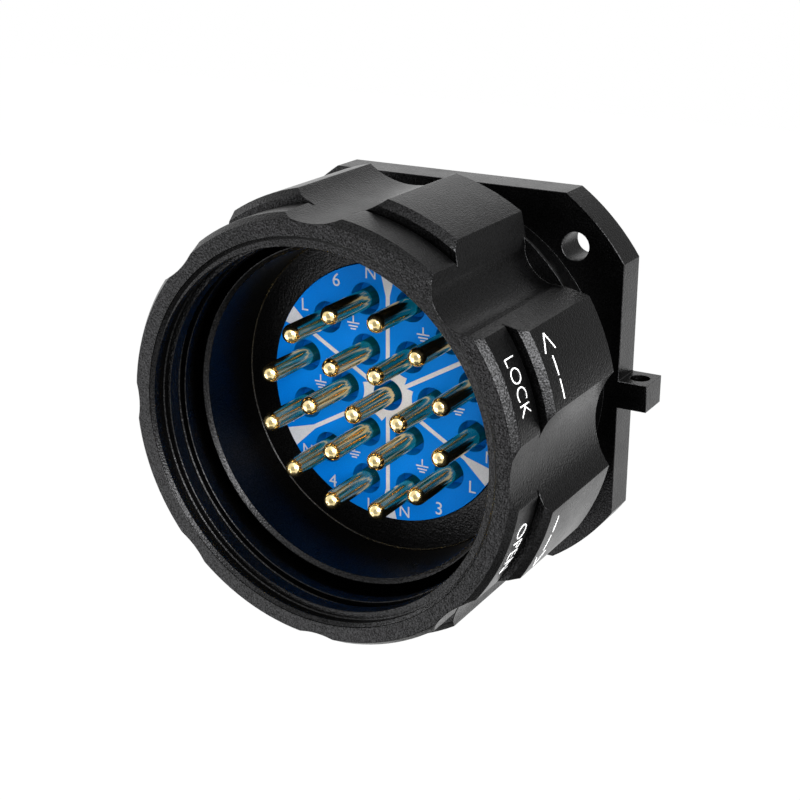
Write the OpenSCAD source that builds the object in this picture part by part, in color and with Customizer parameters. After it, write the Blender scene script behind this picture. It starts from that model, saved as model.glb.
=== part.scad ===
// Nineteen-way panel connector with a fluted coupling ring.
// Millimetres, +Z up. The axis runs along Y and the mating face looks along -Y.
// The origin is on the axis, in the rear face of the flange, which seats on the panel.

/* [Flange] */
// Width and height of the square flange
flange_w = 58; // [56:0.5:66]
// Diameter of the circle that trims the corners of the flange
flange_trim_d = 69.9; // [67:0.1:80]
// Thickness of the flange
flange_t = 5.8; // [4:0.1:9]
// Spacing of the fixing holes, across and up
hole_pitch = 42.5; // [41.5:0.1:46]
// Diameter of the fixing holes
hole_d = 4.3; // [3:0.1:5]

/* [Lanyard lug] */
// Reach of the lug beyond the edge of the flange
lug_reach = 4.5; // [4:0.1:8]
// Height of the lug
lug_h = 4.2; // [2:0.1:8]
// Height of the middle of the lug above the axis
lug_z = -0.3; // [-8:0.1:8]
// Diameter of the hole down through the lug
lug_hole_d = 2.9; // [1.5:0.1:3.2]

/* [Shell] */
// Length of the neck between the flange and the coupling ring
neck_len = 10.3; // [8:0.1:16]
// Height of the shoulder where the neck meets the barrel
neck_step = 1.3; // [0.8:0.1:2]
// Distance from that shoulder to the floor of the socket
hub_len = 7.2; // [6:0.1:12]
// Width of the flat floor round the insert
floor_w = 4.7; // [3:0.1:7]
// Depth of the socket round the pins
socket_depth = 11.65; // [8:0.05:16]
// Wall of the barrel
barrel_wall = 0.8; // [0.6:0.05:2]
// Width of the flat land outside the lead-in at the barrel's front edge
barrel_land = 0.2; // [0.1:0.05:0.4]
// Width of the key at the foot of its slanted sides
key_w = 5.6; // [4:0.1:8]
// Height of the key inside the barrel
key_h = 1.2; // [0.6:0.1:1.8]
// Set-back of the key behind the barrel's front edge
key_back = 1; // [0.4:0.1:4]
// Wall of the collar behind the flange
rear_wall = 1.7; // [1.5:0.1:4]
// Set-back of the insert nut inside that collar
rear_recess = 1; // [0.4:0.1:3]

/* [Insert] */
// Diameter of the insert's front face
insert_d = 39.7; // [38:0.1:44]
// Height of the insert's face above the floor of the socket
insert_proud = 0.3; // [0.1:0.1:1]
// Length of the insert in front of its seat
spigot_len = 15.5; // [10:0.1:18]
// Width of the insert's seat in the shell
seat_w = 1.6; // [1:0.1:2.5]
// Length of the insert behind its seat
collar_t = 9; // [6:0.1:12]
// Thickness of the rear insert
rear_insert_t = 4; // [3:0.1:8]
// Thickness of the insert nut
nut_t = 3; // [2:0.1:5]
// Width of the insert nut
nut_w = 2.6; // [2:0.1:4]
// Width of the spanner slots in the nut
nut_slot_w = 3; // [2:0.1:5]
// Diameter of the pocket round each pin
pocket_d = 4.75; // [4.2:0.05:5.6]
// Depth of that pocket
pocket_depth = 2.6; // [0.6:0.1:4]

/* [Contacts] */
// Diameter of the pins
pin_d = 2.85; // [2:0.05:3.4]
// Length of the pins in front of the insert
pin_reach = 10.9; // [8:0.1:13]
// Diameter of the inner circle of pins
inner_circle_d = 14.8; // [14:0.1:16]
// Diameter of the outer circle of pins
outer_circle_d = 29.3; // [28:0.1:31]
// Diameter of the shoulder on each contact
shoulder_d = 4.2; // [3.8:0.1:5]
// Length of that shoulder
shoulder_t = 2.5; // [1.5:0.1:5]
// Diameter of the solder cup
cup_d = 3.5; // [3.1:0.1:3.7]
// Bore of the solder cup
cup_bore_d = 2.5; // [1.6:0.1:2.8]
// Length of the solder cup behind the rear insert
cup_len = 8.5; // [6:0.1:14]
// Depth of the cup's bore
cup_depth = 5.5; // [3.5:0.1:5.8]
// Length of the cup that is cut open
cup_open = 3; // [1:0.1:3.4]

/* [Coupling ring] */
// Gap between the barrel and the root of the ring's thread
mate_gap = 2.65; // [2.2:0.05:4]
// Wall of the ring from the root of the thread to the low band
ring_wall = 3.15; // [2.8:0.05:5]
// Height of the raised pads above the low band
pad_step = 2; // [1.6:0.1:2.4]
// Length of the raised pads behind their chamfer
pad_len = 19.2; // [14:0.1:26]
// Chamfer along the front of the raised pads
pad_chamfer = 1; // [0.4:0.1:1.2]
// Length of the low band in front of the raised pads
band_len = 6.3; // [4:0.1:9]
// Length of the chamfer behind the ring's front face
rim_chamfer_len = 1.2; // [0.6:0.1:2]
// Height of that chamfer
rim_chamfer = 0.8; // [0.4:0.1:1.2]
// Width of the relief cut at the foot of the raised pads
relief_w = 0.4; // [0.2:0.1:0.8]
// Depth of the relief cut
relief_depth = 0.4; // [0.2:0.1:0.6]
// Thickness of the inner flange that runs on the shell
race_t = 3; // [2:0.1:4]
// Number of flutes
flute_count = 8; // [8:4:12]
// Radius of the hollow of each flute
flute_r = 11.5; // [8:0.1:14]
// Depth of the flutes below the raised pads
flute_depth = 3.2; // [2.6:0.1:3.6]
// Depth of the flat-sided index flute below the raised pads
index_depth = 4.3; // [3.6:0.1:4.6]
// Width of the hollow along the bottom of the index flute
index_w = 7.5; // [5:0.1:9]
// Radius of that hollow
index_r = 7.8; // [6:0.1:12]
// Slope of the index flute's flat sides
index_slope = 33; // [32:1:45]
// Height that the lip behind the index flute lies below the raised pads
index_lip = 2.5; // [2:0.1:3]
// Thickness of that lip
index_lip_t = 0.7; // [0.4:0.1:1.5]

/* [Retaining ring and seal] */
// Thickness of the retaining ring
snap_t = 1.2; // [0.8:0.1:1.6]
// Width of the retaining ring
snap_w = 2.5; // [1.8:0.1:2.8]
// Depth of its groove in the shell
snap_depth = 0.7; // [0.4:0.1:1.2]
// Opening between the ends of the retaining ring
snap_gap = 6; // [3:0.5:12]
// Thickness of the sealing ring
seal_d = 2; // [1.4:0.1:2.1]

/* [Fits] */
// Clearance of parts that are assembled once
fit_gap = 0.05; // [0.03:0.01:0.1]
// Running clearance of the coupling ring on the shell
run_gap = 0.08; // [0.04:0.01:0.1]
// End play of the coupling ring
end_play = 0.3; // [0.2:0.05:0.5]

/* [Hidden] */
$fn = 96;
// Extra length of a cutter beyond the face that it opens
over = 1;

// Distances in front of the panel face, from the rear to the front
shoulder_at = flange_t + neck_len;
ring_at = shoulder_at + end_play;
race_at = ring_at + race_t;
snap_at = race_at + end_play;
seal_at = snap_at + snap_t + seal_d / 2 + fit_gap;
floor_at = shoulder_at + hub_len;
face_at = floor_at + insert_proud;
tip_at = face_at + pin_reach;
barrel_at = floor_at + socket_depth;
step_at = ring_at + pad_len + pad_chamfer;
rim_at = step_at + band_len;
front_at = rim_at + rim_chamfer_len;
seat_at = face_at - spigot_len;
seam_at = seat_at - collar_t;
rear_face_at = seam_at - rear_insert_t;
nut_at = rear_face_at - nut_t;
rear_at = nut_at - rear_recess;
cup_at = rear_face_at - cup_len;

// Radii, from the inside to the outside
insert_r = insert_d / 2;
spigot_bore_r = insert_r + fit_gap;
collar_r = insert_r + seat_w;
collar_bore_r = collar_r + fit_gap;
rear_r = collar_bore_r + rear_wall;
socket_r = spigot_bore_r + floor_w;
barrel_r = socket_r + barrel_wall;
lead_r = barrel_r - barrel_land;
neck_r = barrel_r + neck_step;
groove_r = barrel_r - snap_depth;
race_r = barrel_r + run_gap;
thread_r = barrel_r + mate_gap;
band_r = thread_r + ring_wall;
rim_r = band_r - rim_chamfer;
pad_r = band_r + pad_step;
flute_floor_r = pad_r - flute_depth;
index_floor_r = pad_r - index_depth;
index_lip_r = pad_r - index_lip;
pin_r = pin_d / 2;
cup_r = cup_d / 2;
shoulder_r = shoulder_d / 2;

// Places of the contacts seen from the front: the middle one, the inner circle, the outer circle
inner_count = 6;
outer_count = 12;
function on_circle(r, turn) = [r * sin(turn), r * cos(turn)];
places = concat(
    [[0, 0]],
    [for (i = [0 : inner_count - 1]) on_circle(inner_circle_d / 2, (i + 0.5) * 360 / inner_count)],
    [for (i = [0 : outer_count - 1]) on_circle(outer_circle_d / 2, (i + 0.5) * 360 / outer_count)]
);
contact_count = len(places);
function contact_name(i) = str("contact_", i < 9 ? "0" : "", i + 1);

black = [0.12, 0.12, 0.13];
rubber_black = [0.05, 0.05, 0.05];
insert_blue = [0, 0.38, 0.74];
gold = [0.83, 0.66, 0.28];
spring_steel = [0.55, 0.56, 0.58];

// Turns pieces drawn along +Z, with Y up, so that they point forward along -Y with Z up
module axial() {
    rotate([90, 0, 0]) children();
}

// Round bar between two distances in front of the panel face
module bar(r, from, to) {
    translate([0, 0, from]) cylinder(r = r, h = to - from);
}

// Round tube between two distances in front of the panel face
module tube(r_out, r_in, from, to) {
    difference() {
        bar(r_out, from, to);
        bar(r_in, from - over, to + over);
    }
}

module at_contacts() {
    for (place = places) translate([place[0], place[1], 0]) children();
}

module flange() {
    intersection() {
        translate([-flange_w / 2, -flange_w / 2, 0]) cube([flange_w, flange_w, flange_t]);
        bar(flange_trim_d / 2, 0, flange_t);
    }
    lug();
}

// The lug starts inside the flange so that both are one piece
module lug() {
    root = flange_w / 4;
    hole_x = flange_w / 2 + lug_reach / 2;
    difference() {
        translate([root, lug_z - lug_h / 2, 0]) cube([flange_w / 2 + lug_reach - root, lug_h, flange_t]);
        translate([hole_x, lug_z, flange_t / 2]) rotate([90, 0, 0])
            cylinder(d = lug_hole_d, h = lug_h + 2 * over, center = true);
    }
}

// Outside of the neck and the barrel, with the groove for the retaining ring
module shell_outside() {
    rotate_extrude() polygon([
        [0, 0],
        [neck_r, 0],
        [neck_r, shoulder_at],
        [barrel_r, shoulder_at],
        [barrel_r, snap_at],
        [groove_r, snap_at],
        [groove_r, snap_at + snap_t],
        [barrel_r, snap_at + snap_t],
        [barrel_r, barrel_at],
        [0, barrel_at]
    ]);
}

// Room inside the barrel, with a lead-in at 45 degrees
module socket() {
    lead = lead_r - socket_r;
    rotate_extrude() polygon([
        [0, floor_at],
        [socket_r, floor_at],
        [socket_r, barrel_at - lead],
        [lead_r, barrel_at],
        [lead_r, barrel_at + over],
        [0, barrel_at + over]
    ]);
}

// Key with slanted sides at the top of the socket, rooted in the barrel's wall
module key() {
    root_y = socket_r + barrel_wall / 2;
    crest_y = socket_r - key_h;
    translate([0, 0, floor_at - over]) linear_extrude(height = socket_depth - key_back + over)
        intersection() {
            circle(r = root_y);
            polygon([
                [-key_w / 2 - barrel_wall, root_y],
                [-key_w / 2 + key_h, crest_y],
                [key_w / 2 - key_h, crest_y],
                [key_w / 2 + barrel_wall, root_y]
            ]);
        }
}

module fixing_holes() {
    for (x = [-1, 1], y = [-1, 1])
        translate([x * hole_pitch / 2, y * hole_pitch / 2, -over]) cylinder(d = hole_d, h = flange_t + 2 * over);
}

module panel_shell() {
    color(black) axial() {
        difference() {
            union() {
                flange();
                shell_outside();
                bar(rear_r, rear_at, over);
            }
            socket();
            bar(spigot_bore_r, seat_at - over, floor_at + over);
            bar(collar_bore_r, rear_at - over, seat_at);
            fixing_holes();
        }
        key();
    }
}

// Section of the coupling ring before the flutes are cut
module ring_blank() {
    rotate_extrude() polygon([
        [race_r, ring_at],
        [pad_r, ring_at],
        [pad_r, step_at - pad_chamfer],
        [pad_r - pad_chamfer, step_at],
        [band_r - relief_depth, step_at],
        [band_r - relief_depth, step_at + relief_w],
        [band_r, step_at + relief_w],
        [band_r, rim_at],
        [rim_r, front_at],
        [thread_r, front_at],
        [thread_r, race_at],
        [race_r, race_at]
    ]);
}

module flute() {
    translate([0, flute_floor_r + flute_r, 0]) bar(flute_r, ring_at - over, front_at + over);
}

// Outline of the index flute: two flat sides with a hollow between their feet
module index_outline() {
    hollow_y = index_floor_r + index_r;
    foot = [index_w / 2, hollow_y - sqrt(pow(index_r, 2) - pow(index_w / 2, 2))];
    side = 2 * index_depth / sin(index_slope);
    top = foot + side * [cos(index_slope), sin(index_slope)];
    polygon([[-top[0], top[1]], [-foot[0], foot[1]], foot, top]);
    intersection() {
        translate([0, hollow_y]) circle(r = index_r);
        translate([-index_w / 2, index_floor_r - over]) square([index_w, index_depth]);
    }
}

// The index flute stops at a low lip at the rear of the ring
module index_flute() {
    start_at = ring_at - over;
    lip_at = ring_at + index_lip_t;
    difference() {
        translate([0, 0, start_at]) linear_extrude(height = front_at + over - start_at) index_outline();
        bar(index_lip_r, start_at - over, lip_at);
    }
}

module coupling_ring() {
    color(black) axial() difference() {
        ring_blank();
        for (i = [0 : flute_count - 1])
            rotate([0, 0, -i * 360 / flute_count])
                if (i == 1) index_flute();
                else flute();
    }
}

module retaining_ring() {
    inner_r = groove_r + fit_gap;
    outer_r = inner_r + snap_w;
    color(spring_steel) axial() difference() {
        tube(outer_r, inner_r, snap_at, snap_at + snap_t);
        translate([-snap_gap / 2, -outer_r - over, snap_at - over]) cube([snap_gap, outer_r, snap_t + 2 * over]);
    }
}

module sealing_ring() {
    color(rubber_black) axial() translate([0, 0, seal_at])
        rotate_extrude() translate([barrel_r + seal_d / 2 + fit_gap, 0]) circle(d = seal_d);
}

module front_insert() {
    color(insert_blue) axial() difference() {
        union() {
            bar(insert_r, seat_at - over, face_at);
            bar(collar_r, seam_at, seat_at);
        }
        at_contacts() {
            bar(pin_r + fit_gap, seam_at - over, face_at + over);
            bar(pocket_d / 2, face_at - pocket_depth, face_at + over);
            bar(shoulder_r + fit_gap, seam_at - over, seam_at + shoulder_t);
        }
    }
}

module rear_insert() {
    color(black) axial() difference() {
        bar(collar_r, rear_face_at, seam_at);
        at_contacts() bar(cup_r + fit_gap, rear_face_at - over, seam_at + over);
    }
}

module insert_nut() {
    slot_depth = nut_t / 2;
    color(black) axial() difference() {
        tube(collar_r, collar_r - nut_w, nut_at, rear_face_at);
        translate([-collar_r - over, -nut_slot_w / 2, nut_at - over])
            cube([2 * (collar_r + over), nut_slot_w, slot_depth + over]);
    }
}

// One contact: round-ended pin, shoulder and solder cup with its upper side cut open
module contact(place) {
    color(gold) axial() translate([place[0], place[1], 0]) difference() {
        union() {
            bar(pin_r, seam_at, tip_at - pin_r);
            translate([0, 0, tip_at - pin_r]) sphere(r = pin_r);
            bar(shoulder_r, seam_at, seam_at + shoulder_t);
            bar(cup_r, cup_at, seam_at);
        }
        bar(cup_bore_d / 2, cup_at - over, cup_at + cup_depth);
        translate([-cup_d, 0, cup_at - over]) cube([2 * cup_d, cup_d, cup_open + over]);
    }
}

panel_shell();
coupling_ring();
retaining_ring();
sealing_ring();
front_insert();
rear_insert();
insert_nut();
for (i = [0 : contact_count - 1])
    contact(places[i]);
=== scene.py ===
import math

import bpy
from mathutils import Matrix, Vector


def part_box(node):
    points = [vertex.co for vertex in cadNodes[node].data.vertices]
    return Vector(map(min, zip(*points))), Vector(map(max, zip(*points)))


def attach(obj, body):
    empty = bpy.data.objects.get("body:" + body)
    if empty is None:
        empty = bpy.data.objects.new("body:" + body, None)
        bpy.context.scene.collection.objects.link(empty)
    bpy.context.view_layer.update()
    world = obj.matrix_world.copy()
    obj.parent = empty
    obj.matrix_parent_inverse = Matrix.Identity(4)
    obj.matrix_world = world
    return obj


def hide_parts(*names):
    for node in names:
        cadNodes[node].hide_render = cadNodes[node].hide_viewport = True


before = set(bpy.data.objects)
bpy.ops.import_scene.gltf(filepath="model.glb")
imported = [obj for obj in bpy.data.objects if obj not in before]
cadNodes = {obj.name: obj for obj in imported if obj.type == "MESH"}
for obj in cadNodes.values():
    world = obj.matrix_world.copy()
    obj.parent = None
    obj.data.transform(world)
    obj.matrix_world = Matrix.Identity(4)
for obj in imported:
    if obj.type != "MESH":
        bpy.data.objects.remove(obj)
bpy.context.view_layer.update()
mm = 0.001
faceTolerance = 0.01 * mm    # corners this close to a face lie in it
scene = bpy.context.scene
scene.view_settings.view_transform = "Standard"
print("frame loaded with", len(cadNodes), "nodes")


# reference places, read from the frame
def radiusOf(corner):
    return math.hypot(corner.x, corner.z)


ringCorners = [v.co for v in cadNodes["coupling_ring"].data.vertices]
insertCorners = [v.co for v in cadNodes["front_insert"].data.vertices]
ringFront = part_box("coupling_ring")[0].y
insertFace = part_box("front_insert")[0].y
padRadius = max(radiusOf(c) for c in ringCorners)
mouthRadius = min(radiusOf(c) for c in ringCorners if c.y < ringFront + faceTolerance)
insertRadius = max(radiusOf(c) for c in insertCorners if c.y < insertFace + faceTolerance)
pocketRadius = min(radiusOf(c) for c in insertCorners if c.y < insertFace + faceTolerance)
innerCircle = (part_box("contact_02")[0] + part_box("contact_02")[1]).xz.length / 2


# small helpers
def deselectAll():
    if bpy.context.object and bpy.context.object.mode != "OBJECT":
        bpy.ops.object.mode_set(mode="OBJECT")
    bpy.ops.object.select_all(action="DESELECT")


def pick(piece):
    deselectAll()
    piece.select_set(True)
    bpy.context.view_layer.objects.active = piece


def editAll(piece):
    pick(piece)
    bpy.ops.object.mode_set(mode="EDIT")
    bpy.ops.mesh.select_all(action="SELECT")


def applyPlace(piece):
    pick(piece)
    bpy.ops.object.transform_apply(location=True, rotation=True, scale=True)


def applyModifier(piece, kind, **settings):
    pick(piece)
    modifier = piece.modifiers.new(kind.lower(), kind)
    for name, value in settings.items():
        setattr(modifier, name, value)
    bpy.ops.object.modifier_apply(modifier=modifier.name)


def joinPieces(pieces, name):
    deselectAll()
    for piece in pieces:
        piece.select_set(True)
    bpy.context.view_layer.objects.active = pieces[0]
    if len(pieces) > 1:
        bpy.ops.object.join()
    joined = bpy.context.object
    joined.name = joined.data.name = name
    return joined


def copyPiece(piece, name):
    copy = bpy.data.objects.new(name, piece.data.copy())
    copy.data.name = name
    scene.collection.objects.link(copy)
    return copy


def movePiece(piece, x=0.0, y=0.0, z=0.0):
    piece.data.transform(Matrix.Translation((x, y, z)))


def turnAboutAxis(piece, degrees):  # clockwise seen from the front
    piece.data.transform(Matrix.Rotation(math.radians(degrees), 4, "Y"))


def dress(piece, material, body):
    piece.data.materials.clear()
    piece.data.materials.append(material)
    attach(piece, body)


# camera, solved from the outline and the pins in the photograph
photoView = {
    "azimuth": 29.933,       # degrees round from the front
    "elevation": 19.977,     # degrees above the axis
    "roll": 0.084,           # degrees about the line of sight
    "distance": 247.80 * mm,
    "right": -10.00 * mm,    # the aim point against the origin
    "up": -7.76 * mm,
    "lens": 69.776,          # millimetres, on the sensor below
    "sensor": 36,
    "clipStart": 10 * mm,
}


def placeCamera(view):
    azimuth, elevation = math.radians(view["azimuth"]), math.radians(view["elevation"])
    turn = Matrix.Rotation(azimuth, 4, "Z") @ Matrix.Rotation(math.pi / 2 - elevation, 4, "X")
    turn = turn @ Matrix.Rotation(math.radians(view["roll"]), 4, "Z")
    place = turn @ Vector((view["right"], view["up"], view["distance"]))
    bpy.ops.object.camera_add(location=place, rotation=turn.to_euler())
    camera = bpy.context.object
    camera.data.sensor_width = view["sensor"]
    camera.data.lens = view["lens"]
    camera.data.clip_start = view["clipStart"]
    scene.camera = camera


placeCamera(photoView)
print("camera placed")


# materials
noiseForm = {
    "colourSpan": (0.35, 0.65),      # noise values over which a colour goes from dark to light
    "roughnessSpan": (0.3, 0.7),
    "patchDetail": 4,
    "grainDetail": 2,
    "reliefDetail": 0,
    "markDetail": 1,
}


def newMaterial(name):
    material = bpy.data.materials.new(name)
    material.use_nodes = True
    tree = material.node_tree
    return material, tree, tree.nodes["Principled BSDF"]


def objectNoise(tree, scale, detail, stretch=(1, 1, 1)):
    place = tree.nodes.new("ShaderNodeTexCoord")
    mapping = tree.nodes.new("ShaderNodeMapping")
    mapping.inputs["Scale"].default_value = stretch
    noise = tree.nodes.new("ShaderNodeTexNoise")
    noise.inputs["Scale"].default_value = scale
    noise.inputs["Detail"].default_value = detail
    tree.links.new(place.outputs["Object"], mapping.inputs["Vector"])
    tree.links.new(mapping.outputs["Vector"], noise.inputs["Vector"])
    return noise.outputs["Fac"]


def twoColours(tree, factor, *colours):
    ramp = tree.nodes.new("ShaderNodeValToRGB")
    for element, position, colour in zip(ramp.color_ramp.elements, noiseForm["colourSpan"], colours):
        element.position = position
        element.color = (*colour, 1)
    tree.links.new(factor, ramp.inputs["Fac"])
    return ramp.outputs["Color"]


def spread(tree, factor, low, high):
    span = tree.nodes.new("ShaderNodeMapRange")
    values = (*noiseForm["roughnessSpan"], low, high)
    for socket, value in zip(("From Min", "From Max", "To Min", "To Max"), values):
        span.inputs[socket].default_value = value
    tree.links.new(factor, span.inputs["Value"])
    return span.outputs["Result"]


def bump(tree, height, distance):
    node = tree.nodes.new("ShaderNodeBump")
    node.inputs["Distance"].default_value = distance
    tree.links.new(height, node.inputs["Height"])
    return node.outputs["Normal"]


def makeGrained(name, coat):  # a coat or plastic whose fine grain shows in its colour and its relief
    material, tree, shader = newMaterial(name)
    patches = objectNoise(tree, coat["patchScale"], noiseForm["patchDetail"])
    grain = objectNoise(tree, coat["grainScale"], noiseForm["grainDetail"])
    relief = objectNoise(tree, coat["reliefScale"], noiseForm["reliefDetail"])
    tree.links.new(twoColours(tree, grain, coat["dark"], coat["light"]), shader.inputs["Base Color"])
    tree.links.new(spread(tree, patches, *coat["roughness"]), shader.inputs["Roughness"])
    tree.links.new(bump(tree, relief, coat["reliefHeight"]), shader.inputs["Normal"])
    shader.inputs["Metallic"].default_value = coat["metallic"]
    shader.inputs["Specular IOR Level"].default_value = coat["specular"]
    return material


def makePlated(name, plate):  # bright metal with faint drawn marks
    material, tree, shader = newMaterial(name)
    marks = objectNoise(tree, plate["markScale"], noiseForm["markDetail"], plate["markStretch"])
    tree.links.new(twoColours(tree, marks, plate["dark"], plate["light"]), shader.inputs["Base Color"])
    tree.links.new(spread(tree, marks, *plate["roughness"]), shader.inputs["Roughness"])
    tree.links.new(bump(tree, marks, plate["markHeight"]), shader.inputs["Normal"])
    shader.inputs["Metallic"].default_value = 1
    return material


hardCoat = {
    "dark": (0.008, 0.008, 0.008),
    "light": (0.030, 0.030, 0.031),
    "patchScale": 260,       # soft patches, per metre
    "grainScale": 4800,      # fine grain of the coat, per metre
    "reliefScale": 3800,     # its relief, per metre
    "reliefHeight": 0.048 * mm,
    "roughness": (0.27, 0.33),
    "metallic": 1.0,         # black all through, so only its gloss lightens it
    "specular": 0.5,
}

bluePlastic = {
    "dark": (0.0, 0.148, 0.575),
    "light": (0.0, 0.168, 0.635),
    "patchScale": 400,
    "grainScale": 5000,
    "reliefScale": 5000,
    "reliefHeight": 0.004 * mm,
    "roughness": (0.40, 0.50),
    "metallic": 0.0,
    "specular": 0.04,
}

blackPlastic = {
    "dark": (0.008, 0.008, 0.008),
    "light": (0.020, 0.020, 0.021),
    "patchScale": 300,
    "grainScale": 4200,
    "reliefScale": 4200,
    "reliefHeight": 0.008 * mm,
    "roughness": (0.42, 0.55),
    "metallic": 0.0,
    "specular": 0.4,
}

sealRubber = {
    "dark": (0.008, 0.008, 0.008),
    "light": (0.018, 0.018, 0.018),
    "patchScale": 500,
    "grainScale": 3000,
    "reliefScale": 3000,
    "reliefHeight": 0.006 * mm,
    "roughness": (0.62, 0.78),
    "metallic": 0.0,
    "specular": 0.4,
}

printInk = {
    "dark": (0.46, 0.475, 0.52),
    "light": (0.54, 0.555, 0.60),
    "patchScale": 900,
    "grainScale": 6000,
    "reliefScale": 6000,
    "reliefHeight": 0.003 * mm,
    "roughness": (0.5, 0.65),
    "metallic": 0.0,
    "specular": 0.2,
}

legendInk = {
    "dark": (0.82, 0.82, 0.82),
    "light": (0.95, 0.95, 0.95),
    "patchScale": 1500,
    "grainScale": 6000,
    "reliefScale": 6000,
    "reliefHeight": 0.003 * mm,
    "roughness": (0.5, 0.65),
    "metallic": 0.0,
    "specular": 0.2,
}

goldPlate = {
    "dark": (0.86, 0.67, 0.30),
    "light": (0.94, 0.77, 0.42),
    "markScale": 1200,
    "markStretch": (1, 0.05, 1),     # drawn out along the pin
    "markHeight": 0.0006 * mm,
    "roughness": (0.13, 0.19),
}

springSteel = {
    "dark": (0.20, 0.20, 0.21),
    "light": (0.36, 0.36, 0.37),
    "markScale": 3000,
    "markStretch": (1, 1, 1),
    "markHeight": 0.002 * mm,
    "roughness": (0.28, 0.42),
}

hardCoatMaterial = makeGrained("hard_coat", hardCoat)
blueMaterial = makeGrained("blue_insert_plastic", bluePlastic)
blackPlasticMaterial = makeGrained("black_insert_plastic", blackPlastic)
rubberMaterial = makeGrained("seal_rubber", sealRubber)
printMaterial = makeGrained("print_ink", printInk)
legendMaterial = makeGrained("legend_ink", legendInk)
goldMaterial = makePlated("gold_plate", goldPlate)
steelMaterial = makePlated("spring_steel", springSteel)
print("materials made")


# turned and moulded parts, with their sharp edges broken
edgeBreaks = {               # width of the broken edge, body, slot and material of each part
    "coupling_ring": (0.12 * mm, "ring", "ring_black", hardCoatMaterial),
    "panel_shell": (0.11 * mm, "shell", "shell_black", hardCoatMaterial),
    "insert_nut": (0.15 * mm, "shell", "nut_black", hardCoatMaterial),
    "front_insert": (0.08 * mm, "shell", "insert_blue", blueMaterial),
    "rear_insert": (0.10 * mm, "shell", "insert_black", blackPlasticMaterial),
    "retaining_ring": (0.08 * mm, "shell", "spring_steel", steelMaterial),
}
mergeGap = 0.002 * mm
flatAngle = math.radians(0.3)    # faces that lean less than this become one
sharpAngle = math.radians(26)    # edges over this are broken
smoothAngle = math.radians(32)   # edges under this are shaded round


def cleanCopy(nodeName, name):
    piece = copyPiece(cadNodes[nodeName], name)
    editAll(piece)
    bpy.ops.mesh.remove_doubles(threshold=mergeGap)
    bpy.ops.object.mode_set(mode="OBJECT")
    return piece


def breakEdges(piece, width, limit=sharpAngle):
    applyModifier(piece, "BEVEL", width=width, segments=1, limit_method="ANGLE", angle_limit=limit,
                  use_clamp_overlap=False, offset_type="WIDTH")
    pick(piece)
    bpy.ops.object.shade_smooth_by_angle(angle=smoothAngle)
    applyModifier(piece, "WEIGHTED_NORMAL", keep_sharp=True)  # large faces stay flat


# the ring's index flute: a fuller hollow between its flat sides
indexForm = {
    "angle": 45,                # degrees clockwise from the top
    "halfWidth": 3.75 * mm,     # from the middle of the hollow to its edges
    "hollowRadius": 7.8 * mm,
    "hollowDrop": 4.3 * mm,     # floor of the hollow below the pads, in the solid
    "deeper": 0.6 * mm,         # how much the floor goes down
    "fullness": 4,              # power of the curve, higher is flatter with steeper ends
    "tolerance": 0.02 * mm,     # corners this close to the hollow belong to it
}


def fillOutIndexFlute(ring, form):
    half, near = form["halfWidth"], form["tolerance"]
    middle = padRadius - form["hollowDrop"] + form["hollowRadius"]
    foot = middle - math.sqrt(form["hollowRadius"] ** 2 - half ** 2)
    turnAboutAxis(ring, -form["angle"])  # work on the flute at the top
    feet = set()
    moved = 0
    for v in ring.data.vertices:
        x, z = v.co.x, v.co.z
        if z < 0 or abs(x) > half + near:
            continue
        if abs(z - middle + math.sqrt(form["hollowRadius"] ** 2 - x ** 2)) < near:
            if abs(z - foot) < near:
                feet.add(v.index)
            v.co.z = z - form["deeper"] * max(0, 1 - abs(x / half) ** form["fullness"])
            moved += 1
    for edge in ring.data.edges:  # the feet of the flat sides stay crisp
        if feet.issuperset(edge.vertices):
            edge.use_edge_sharp = True
    turnAboutAxis(ring, form["angle"])
    print("index flute filled out at", moved, "corners")


for nodeName, (width, body, slot, material) in edgeBreaks.items():
    piece = cleanCopy(nodeName, nodeName + "_finished")
    if nodeName == "coupling_ring":
        fillOutIndexFlute(piece, indexForm)
    editAll(piece)
    bpy.ops.mesh.dissolve_limited(angle_limit=flatAngle)
    breakEdges(piece, width)
    dress(piece, material, body)
    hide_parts(nodeName)
print("edges broken on", len(edgeBreaks), "parts")


# contacts and seal
contactNames = sorted(name for name in cadNodes if name.startswith("contact_"))
for nodeName in contactNames:
    piece = cleanCopy(nodeName, nodeName + "_plated")
    pick(piece)
    bpy.ops.object.shade_smooth_by_angle(angle=smoothAngle)
    dress(piece, goldMaterial, "shell")
    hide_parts(nodeName)

cadNodes["sealing_ring"].material_slots[0].material = rubberMaterial
print("contacts plated:", len(contactNames))


# lead-in and coarse thread inside the coupling ring
threadForm = {
    "rootRadius": 27.6 * mm,
    "crestRadius": 26.5 * mm,
    "sink": 0.15 * mm,          # how far each piece stands in the one that carries it
    "leadIn": (0.13 * mm, 0.61 * mm),   # start and end of the cone, behind the ring's front face
    "sleeveDepth": 10 * mm,
    "sleeveSteps": 180,
    "crestWidth": 2.0 * mm,
    "flankLean": 0.03 * mm,
    "rootFillet": 0.14 * mm,
    "pitch": 3.6 * mm,
    "turns": 2.3,
    "startAngle": 272,          # degrees clockwise from the top
    "startDepth": -0.78 * mm,   # against the ring's front face; it is faced off at the cone's end
    "stepsPerTurn": 144,
    "runIn": 33,                # steps over which the ridge rises at its start
    "runOut": 14,
    "endShare": 0.03,           # share of its height that the ridge keeps at its ends
    "edgeBreak": 0.13 * mm,
    "brokenAngle": 60,          # the crest's edges, not those of the chamfer at its root
}
sectionAngle = 90  # degrees clockwise from the top, where a section is drawn


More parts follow.
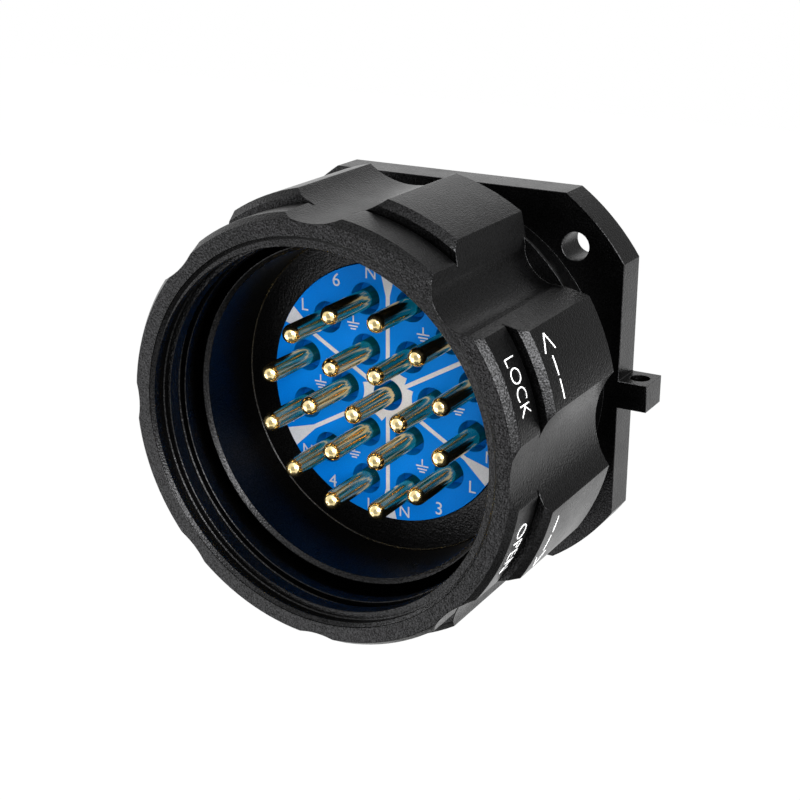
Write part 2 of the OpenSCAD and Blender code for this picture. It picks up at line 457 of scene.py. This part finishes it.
def drawSection(corners):  # a filled outline from radius and depth, which the screw carries round
    deselectAll()
    bpy.ops.mesh.primitive_circle_add(vertices=len(corners), fill_type="NGON")
    section = bpy.context.object
    for v, (radius, depth) in zip(section.data.vertices, corners):
        v.co = (radius, depth, 0)
    return section


def spinSection(section, steps):
    applyModifier(section, "SCREW", axis="Y", steps=steps, render_steps=steps, use_merge_vertices=True,
                  merge_threshold=mergeGap)
    editAll(section)
    bpy.ops.mesh.delete_loose()
    bpy.ops.mesh.select_all(action="SELECT")
    bpy.ops.mesh.normals_make_consistent(inside=False)
    bpy.ops.object.mode_set(mode="OBJECT")
    pick(section)
    bpy.ops.object.shade_smooth_by_angle(angle=smoothAngle)


def makeSleeve(form):
    root, outside = form["rootRadius"], mouthRadius + form["sink"]
    near, far = form["leadIn"]
    sleeve = drawSection([(outside, near), (mouthRadius, near), (root, far), (root, form["sleeveDepth"]),
                          (outside, form["sleeveDepth"])])
    spinSection(sleeve, form["sleeveSteps"])
    movePiece(sleeve, y=ringFront)
    return sleeve


def makeRidge(form):
    root, crest, width = form["rootRadius"], form["crestRadius"], form["crestWidth"]
    base, lean, fillet = root + form["sink"], form["flankLean"], form["rootFillet"]
    front, rear = -lean - fillet, width + lean
    ridge = drawSection([(base, front), (root, front), (root - fillet, -lean), (crest, 0), (crest, width),
                         (root, rear), (base, rear)])
    turns = form["turns"]
    steps = int(turns * form["stepsPerTurn"])
    applyModifier(ridge, "SCREW", axis="Y", angle=turns * 2 * math.pi, steps=steps, render_steps=steps,
                  screw_offset=turns * form["pitch"])
    sectionSize = len(ridge.data.vertices) // (steps + 1)
    facedAt = form["leadIn"][1] - form["startDepth"]
    for v in ridge.data.vertices:  # the ridge rises slowly at its start and fades at its end
        step = v.index // sectionSize
        fade = max(form["endShare"], min(1, step / form["runIn"], (steps - step) / form["runOut"]))
        radius = radiusOf(v.co)
        lowered = base - (base - radius) * fade
        v.co = (v.co.x * lowered / radius, max(v.co.y, facedAt), v.co.z * lowered / radius)
    editAll(ridge)
    bpy.ops.mesh.fill_holes(sides=sectionSize)
    bpy.ops.mesh.select_all(action="SELECT")
    bpy.ops.mesh.normals_make_consistent(inside=False)
    breakEdges(ridge, form["edgeBreak"], math.radians(form["brokenAngle"]))
    turnAboutAxis(ridge, form["startAngle"] - sectionAngle)
    movePiece(ridge, y=ringFront + form["startDepth"])
    return ridge


threadPiece = joinPieces([makeSleeve(threadForm), makeRidge(threadForm)], "ring_thread")
dress(threadPiece, hardCoatMaterial, "ring")
print("thread cut with", len(threadPiece.data.polygons), "faces")


# narrow chamfer in the corner of the socket's floor
socketForm = {
    "wallRadius": 24.6 * mm,
    "floor": -23.3 * mm,        # along the axis
    "chamfer": 0.14 * mm,
    "sink": 0.2 * mm,           # how far it stands in the wall and the floor
    "steps": 180,
}


def makeSocketCorner(form):
    wall, floor, cut, sink = form["wallRadius"], form["floor"], form["chamfer"], form["sink"]
    corner = drawSection([(wall + sink, floor - cut), (wall, floor - cut), (wall - cut, floor),
                          (wall - cut, floor + sink), (wall + sink, floor + sink)])
    spinSection(corner, form["steps"])
    return joinPieces([corner], "socket_corner")


dress(makeSocketCorner(socketForm), hardCoatMaterial, "shell")
print("socket corner turned")


# flat drawings for the legends and the print, with x along, y up and z out of the surface
def drawWords(words, height, width=None, weight=0.0):
    deselectAll()
    bpy.ops.object.text_add()
    bpy.context.object.data.body = words
    bpy.context.object.data.offset = weight
    bpy.ops.object.convert(target="MESH")
    piece = bpy.context.object
    xs = [v.co.x for v in piece.data.vertices]
    ys = [v.co.y for v in piece.data.vertices]
    movePiece(piece, -(min(xs) + max(xs)) / 2, -(min(ys) + max(ys)) / 2)
    tall = height / (max(ys) - min(ys))
    wide = width / (max(xs) - min(xs)) if width else tall
    piece.data.transform(Matrix.Diagonal((wide, tall, 1, 1)))
    return piece


strokeCuts = 3  # cuts across a stroke, so that it follows a round surface


def drawStroke(start, end, width):
    run = Vector(end) - Vector(start)
    middle = (Vector(end) + Vector(start)) / 2
    heading = math.atan2(run.y, run.x)
    deselectAll()
    bpy.ops.mesh.primitive_plane_add(size=1, location=(*middle, 0), rotation=(0, 0, heading))
    piece = bpy.context.object
    piece.scale = (run.length, width, 1)
    applyPlace(piece)
    editAll(piece)
    bpy.ops.mesh.subdivide(number_cuts=strokeCuts)
    bpy.ops.object.mode_set(mode="OBJECT")
    return piece


def thicken(piece, height):
    applyModifier(piece, "SOLIDIFY", thickness=height, offset=1)


# legends on the coupling ring
legendForm = {
    "wordHeight": 2.53 * mm,
    "wordWidth": 7.95 * mm,
    "wordDrop": 2.0 * mm,       # the low band lies this far below the pads
    "wordWeight": -0.020,       # strokes a little thinner than the font's
    "wordDepth": 4.15 * mm,     # middle of the words behind the ring's front face
    "arrowDepth": 11.40 * mm,   # middle of the arrows behind the ring's front face
    "arrowHead": (2.48 * mm, 1.5 * mm),     # length and half width
    "arrowTip": -5.0 * mm,      # against the middle of the arrow
    "dashes": ((-1.83 * mm, 0.90 * mm), (1.40 * mm, 4.12 * mm)),
    "stroke": 0.23 * mm,
    "height": 0.05 * mm,        # of the ink above the surface
    "words": {                  # angle of the word, angle of its arrow, way that it points
        "LOCK": (68.5, 68.75, 1),
        "OPEN": (111.3, 112.4, -1),
    },
}


def wrapOnRing(piece, radius, degrees, depth):
    for v in piece.data.vertices:
        turn = math.radians(degrees) + v.co.x / radius
        reach = radius + v.co.z
        v.co = (reach * math.sin(turn), ringFront + depth + v.co.y, reach * math.cos(turn))


def drawArrow(form, side):
    tip = Vector((form["arrowTip"], 0))
    length, rise = form["arrowHead"]
    strokes = [drawStroke(tip + Vector((length, up * rise)), tip, form["stroke"]) for up in (1, -1)]
    strokes += [drawStroke((start, 0), (end, 0), form["stroke"]) for start, end in form["dashes"]]
    arrow = joinPieces(strokes, "arrow")
    if side < 0:
        arrow.data.transform(Matrix.Rotation(math.pi, 4, "Z"))
    return arrow


for words, (wordAngle, arrowAngle, side) in legendForm["words"].items():
    word = drawWords(words, legendForm["wordHeight"], legendForm["wordWidth"], legendForm["wordWeight"])
    thicken(word, legendForm["height"])
    wrapOnRing(word, padRadius - legendForm["wordDrop"], wordAngle, legendForm["wordDepth"])
    arrow = drawArrow(legendForm, side)
    thicken(arrow, legendForm["height"])
    wrapOnRing(arrow, padRadius, arrowAngle, legendForm["arrowDepth"])
    legend = joinPieces([word, arrow], "legend_" + words.lower())
    dress(legend, legendMaterial, "ring")
print("legends drawn:", len(legendForm["words"]))


# print on the face of the blue insert
printForm = {
    "height": 0.02 * mm,
    "sectors": 6,
    "firstSector": 30,              # degrees clockwise from the top
    "numbers": {"radius": 18.55 * mm, "lead": 1.9, "height": 2.0 * mm},     # lead in degrees
    "letters": {"L": {"radius": 18.5 * mm, "lead": -20.6, "height": 1.85 * mm},
                "N": {"radius": 18.4 * mm, "lead": 21.0, "height": 1.8 * mm}},
    "earthRadius": 11.75 * mm,
    "earthStem": 1.1 * mm,
    "earthBars": ((0, 2.05 * mm), (-0.5 * mm, 1.56 * mm), (-0.93 * mm, 0.92 * mm)),     # height and width
    "earthStroke": 0.2 * mm,
    "spokeWidth": 0.64 * mm,
    "spokeColumns": 6,
    "flareStart": 15 * mm,
    "flareWidth": 3.0 * mm,
    "edgeGap": 0.08 * mm,           # bare rim outside the print
    "hubClear": 3.36 * mm,          # bare circle round each inner pin
    "hubNotch": 3.5 * mm,
    "hubNotchAngle": 6,
    "hubCornerAngle": 14,
    "hubSteps": 180,
}


def hubReach(form, degrees):  # outline of the star round the middle pin
    step = 360 / form["sectors"]
    away = abs((degrees + step / 2) % step - step / 2)
    corner, notch = form["hubCornerAngle"], form["hubNotchAngle"]

    def clearOfPin(angle):
        turn = math.radians(step / 2 - angle)
        along, aside = innerCircle * math.cos(turn), innerCircle * math.sin(turn)
        return along - math.sqrt(form["hubClear"] ** 2 - aside ** 2)

    if away >= corner:
        return clearOfPin(away)
    rise = max(0, (away - notch) / (corner - notch))
    return form["hubNotch"] + rise * (clearOfPin(corner) - form["hubNotch"])


def drawHub(form):
    deselectAll()
    bpy.ops.mesh.primitive_circle_add(vertices=form["hubSteps"], radius=pocketRadius + form["edgeGap"])
    hub = bpy.context.object
    editAll(hub)
    bpy.ops.mesh.extrude_edges_move()
    bpy.ops.object.mode_set(mode="OBJECT")
    for v in hub.data.vertices:
        if v.select:
            degrees = math.degrees(math.atan2(v.co.x, v.co.y))
            v.co = v.co.normalized() * hubReach(form, degrees)
    editAll(hub)
    bpy.ops.mesh.flip_normals()  # the new faces looked down
    bpy.ops.object.mode_set(mode="OBJECT")
    return hub


def drawSpoke(form):
    deselectAll()
    bpy.ops.mesh.primitive_grid_add(x_subdivisions=form["spokeColumns"], y_subdivisions=2, size=2)
    spoke = bpy.context.object
    edgeRadius = insertRadius - form["edgeGap"]
    for v in spoke.data.vertices:
        across, row = v.co.x, round(v.co.y)  # rows -1, 0 and 1, from the hub to the edge
        if row == 1:
            x = across * form["flareWidth"] / 2
            v.co = (x, math.sqrt(edgeRadius ** 2 - x ** 2), 0)
        else:
            reach = form["flareStart"] if row == 0 else form["hubNotch"]
            v.co = (across * form["spokeWidth"] / 2, reach, 0)
    return spoke


def drawEarth(form):
    strokes = [drawStroke((0, 0), (0, form["earthStem"]), form["earthStroke"])]
    for y, width in form["earthBars"]:
        strokes.append(drawStroke((-width / 2, y), (width / 2, y), form["earthStroke"]))
    return joinPieces(strokes, "earth")


def placeOnCircle(piece, radius, degrees):
    turn = math.radians(degrees)
    movePiece(piece, radius * math.sin(turn), radius * math.cos(turn))
    return piece


def drawPrint(form):
    marks = [drawHub(form)]
    step = 360 / form["sectors"]
    numbers = form["numbers"]
    for sector in range(form["sectors"]):
        degrees = form["firstSector"] + sector * step
        spoke = drawSpoke(form)
        spoke.data.transform(Matrix.Rotation(-math.radians(sector * step), 4, "Z"))
        marks.append(spoke)
        marks.append(placeOnCircle(drawEarth(form), form["earthRadius"], degrees))
        number = drawWords(str(sector + 1), numbers["height"])
        marks.append(placeOnCircle(number, numbers["radius"], degrees + numbers["lead"]))
        for words, place in form["letters"].items():
            letter = drawWords(words, place["height"])
            marks.append(placeOnCircle(letter, place["radius"], degrees + place["lead"]))
    sheet = joinPieces(marks, "insert_print")
    thicken(sheet, form["height"])
    sheet.data.transform(Matrix.Rotation(math.pi / 2, 4, "X"))  # stand the drawing up to face forward
    movePiece(sheet, y=insertFace)
    return sheet


printPiece = drawPrint(printForm)
dress(printPiece, printMaterial, "shell")
print("insert printed with", len(printPiece.data.polygons), "faces")


# floor, background and light
studio = {
    "floorDrop": 500 * mm,
    "floorSize": 6.0,
    "floorCells": 8,
    "floorColour": (0.95, 0.95, 0.95),
    "floorGlow": 0.92,       # share of the floor's white that shadows don't darken
    "ambient": 1.1,
    "softboxes": {           # direction from the part, distance, width, height, brightness
        "right_softbox": ((0.73, -0.54, 0.41), 0.60, 0.62, 0.30, 11.5),
        "side_softbox": ((0.95, -0.28, 0.00), 0.60, 0.36, 0.28, 3.4),
        "left_softbox": ((-0.95, -0.25, 0.05), 0.60, 0.30, 0.60, 3.0),
        "low_softbox": ((-0.58, -0.67, -0.46), 0.60, 0.46, 0.40, 2.0),
        "top_softbox": ((0.25, -0.45, 0.85), 0.60, 0.50, 0.30, 1.0),
    },
    "cardCells": 2,
    "cards": {               # seen in reflections only: direction, distance, width, height, shade
        "front_card": ((0.14, -0.97, 0.06), 0.55, 0.48, 0.50, 0.45),
        "rear_card": ((0.55, 0.78, 0.24), 0.45, 0.70, 0.42, 0.38),
        "near_card": ((0.05, -0.58, -0.81), 0.45, 0.32, 0.26, 0.15),
        "low_card": ((0.20, 0.05, -0.97), 0.45, 0.50, 0.50, 0.28),
    },
}


def seenRays(tree, share):  # camera, mirror and glass rays see the white background
    path = tree.nodes.new("ShaderNodeLightPath")
    seen = path.outputs["Is Camera Ray"]
    for ray in ("Is Glossy Ray", "Is Transmission Ray"):
        either = tree.nodes.new("ShaderNodeMath")
        either.operation = "MAXIMUM"
        tree.links.new(seen, either.inputs[0])
        tree.links.new(path.outputs[ray], either.inputs[1])
        seen = either.outputs["Value"]
    part = tree.nodes.new("ShaderNodeMath")
    part.operation = "MULTIPLY"
    part.inputs[1].default_value = share
    tree.links.new(seen, part.inputs[0])
    return part.outputs["Value"]


def mixBySeen(tree, share, hidden, shown, output):
    mix = tree.nodes.new("ShaderNodeMixShader")
    tree.links.new(seenRays(tree, share), mix.inputs["Fac"])
    tree.links.new(hidden.outputs[0], mix.inputs[1])
    tree.links.new(shown.outputs[0], mix.inputs[2])
    tree.links.new(mix.outputs["Shader"], output.inputs["Surface"])


def makeFloor(studio):
    deselectAll()
    cells = studio["floorCells"]
    bpy.ops.mesh.primitive_grid_add(x_subdivisions=cells, y_subdivisions=cells, size=studio["floorSize"],
                                    location=(0, 0, -studio["floorDrop"]))
    floor = bpy.context.object
    floor.name = "floor"
    material = bpy.data.materials.new("pale_floor")
    material.use_nodes = True
    tree = material.node_tree
    tree.nodes.clear()
    paint = tree.nodes.new("ShaderNodeBsdfDiffuse")
    paint.inputs["Color"].default_value = (*studio["floorColour"], 1)
    white = tree.nodes.new("ShaderNodeEmission")
    mixBySeen(tree, studio["floorGlow"], paint, white, tree.nodes.new("ShaderNodeOutputMaterial"))
    floor.data.materials.append(material)


def makeWorld(studio):
    world = bpy.data.worlds.new("studio")
    scene.world = world
    world.use_nodes = True
    tree = world.node_tree
    tree.nodes.clear()
    ambient = tree.nodes.new("ShaderNodeBackground")
    ambient.inputs["Color"].default_value = (1, 1, 1, 1)
    ambient.inputs["Strength"].default_value = studio["ambient"]
    white = tree.nodes.new("ShaderNodeBackground")
    white.inputs["Color"].default_value = (1, 1, 1, 1)
    mixBySeen(tree, 1.0, ambient, white, tree.nodes.new("ShaderNodeOutputWorld"))


def aimAtPart(direction):
    return Vector(direction).normalized().to_track_quat("Z", "Y").to_euler()


def addSoftbox(name, direction, distance, width, height, brightness):
    place = Vector(direction).normalized() * distance
    bpy.ops.object.light_add(type="AREA", location=place, rotation=aimAtPart(direction))
    lamp = bpy.context.object
    lamp.name = name
    lamp.visible_camera = False
    lamp.data.shape = "RECTANGLE"
    lamp.data.size, lamp.data.size_y = width, height
    lamp.data.energy = brightness * math.pi * width * height


def addCard(name, direction, distance, width, height, shade):
    deselectAll()
    place = Vector(direction).normalized() * distance
    cells = studio["cardCells"]
    bpy.ops.mesh.primitive_grid_add(x_subdivisions=cells, y_subdivisions=cells, size=1, location=place,
                                    rotation=aimAtPart(direction))
    card = bpy.context.object
    card.name = name
    card.scale = (width, height, 1)
    for rays in ("camera", "diffuse", "transmission", "volume_scatter", "shadow"):
        setattr(card, "visible_" + rays, False)
    material = bpy.data.materials.new(name)
    material.use_nodes = True
    tree = material.node_tree
    tree.nodes.clear()
    grey = tree.nodes.new("ShaderNodeEmission")
    grey.inputs["Color"].default_value = (shade, shade, shade, 1)
    tree.links.new(grey.outputs["Emission"], tree.nodes.new("ShaderNodeOutputMaterial").inputs["Surface"])
    card.data.materials.append(material)


makeFloor(studio)
makeWorld(studio)
for name, form in studio["softboxes"].items():
    addSoftbox(name, *form)
for name, form in studio["cards"].items():
    addCard(name, *form)
print("studio set")
